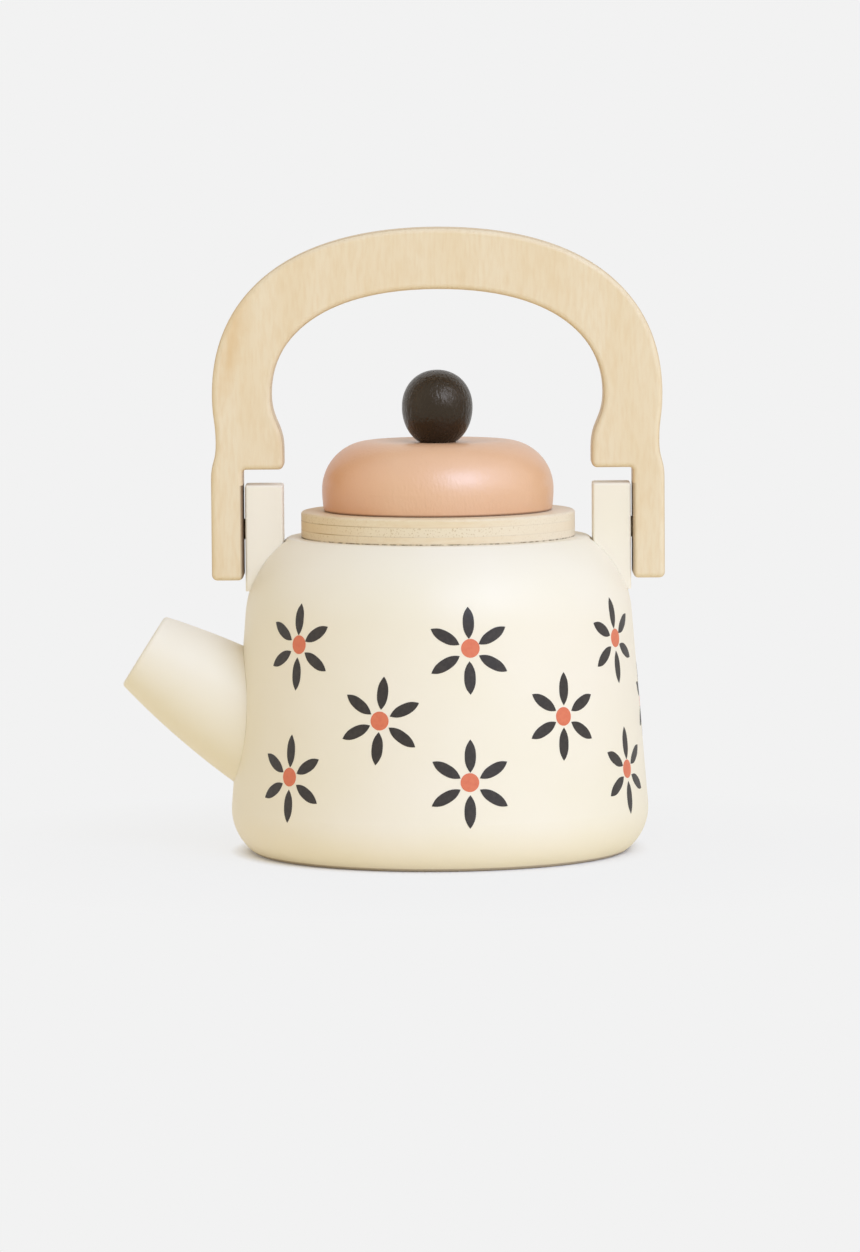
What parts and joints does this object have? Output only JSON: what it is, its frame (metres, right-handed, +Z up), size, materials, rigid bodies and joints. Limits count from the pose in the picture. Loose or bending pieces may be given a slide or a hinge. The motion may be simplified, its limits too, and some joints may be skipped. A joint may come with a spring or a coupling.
{
  "type": "toy kettle",
  "caption": "Wooden toy kettle: round cream pot with a stubby spout, plywood collar, lift-off dome lid with a ball knob, and a swinging plywood bail handle.",
  "frame": {"origin": "centre of the flat base, on the axis that the pot is turned about", "axes": "+Z up through the lid's knob; the spout points along -X; the handle's pivot axis runs along X and the handle stands in the XZ plane; -Y faces the viewer of the picture"},
  "size_m": [0.1565, 0.1206, 0.18],
  "materials": {
    "cream_paint": "turned wood under satin cream paint",
    "ring_plywood": "sanded birch plywood, clear satin, plies showing at the rim",
    "handle_birch": "sanded birch plywood, clear satin, grain upright",
    "dowel_birch": "sanded birch dowel, clear satin",
    "pink_paint": "turned wood under satin dusty pink paint",
    "black_stain": "turned wood under satin charcoal paint"
  },
  "bodies": {
    "pot_group": {"kettle_body": "cream_paint", "spout": "cream_paint", "collar_ring": "ring_plywood", "left_upright": "cream_paint", "right_upright": "cream_paint", "left_upright_dowel": "dowel_birch", "right_upright_dowel": "dowel_birch", "left_pivot_dowel": "dowel_birch", "right_pivot_dowel": "dowel_birch"},
    "handle_group": {"handle": "handle_birch"},
    "lid_group": {"lid": "pink_paint", "knob": "black_stain", "knob_dowel": "dowel_birch"}
  },
  "joints": [
    {"name": "handle_swing", "type": "hinge", "parent": "pot_group", "child": "handle_group", "pos_m": [0, 0, 0.0934], "axis": [1, 0, 0], "range_deg": [-87, 87]},
    {"name": "lid_lift", "type": "slide", "parent": "pot_group", "child": "lid_group", "axis": [0, 0, 1], "range_m": [0, 0.02]}
  ]
}
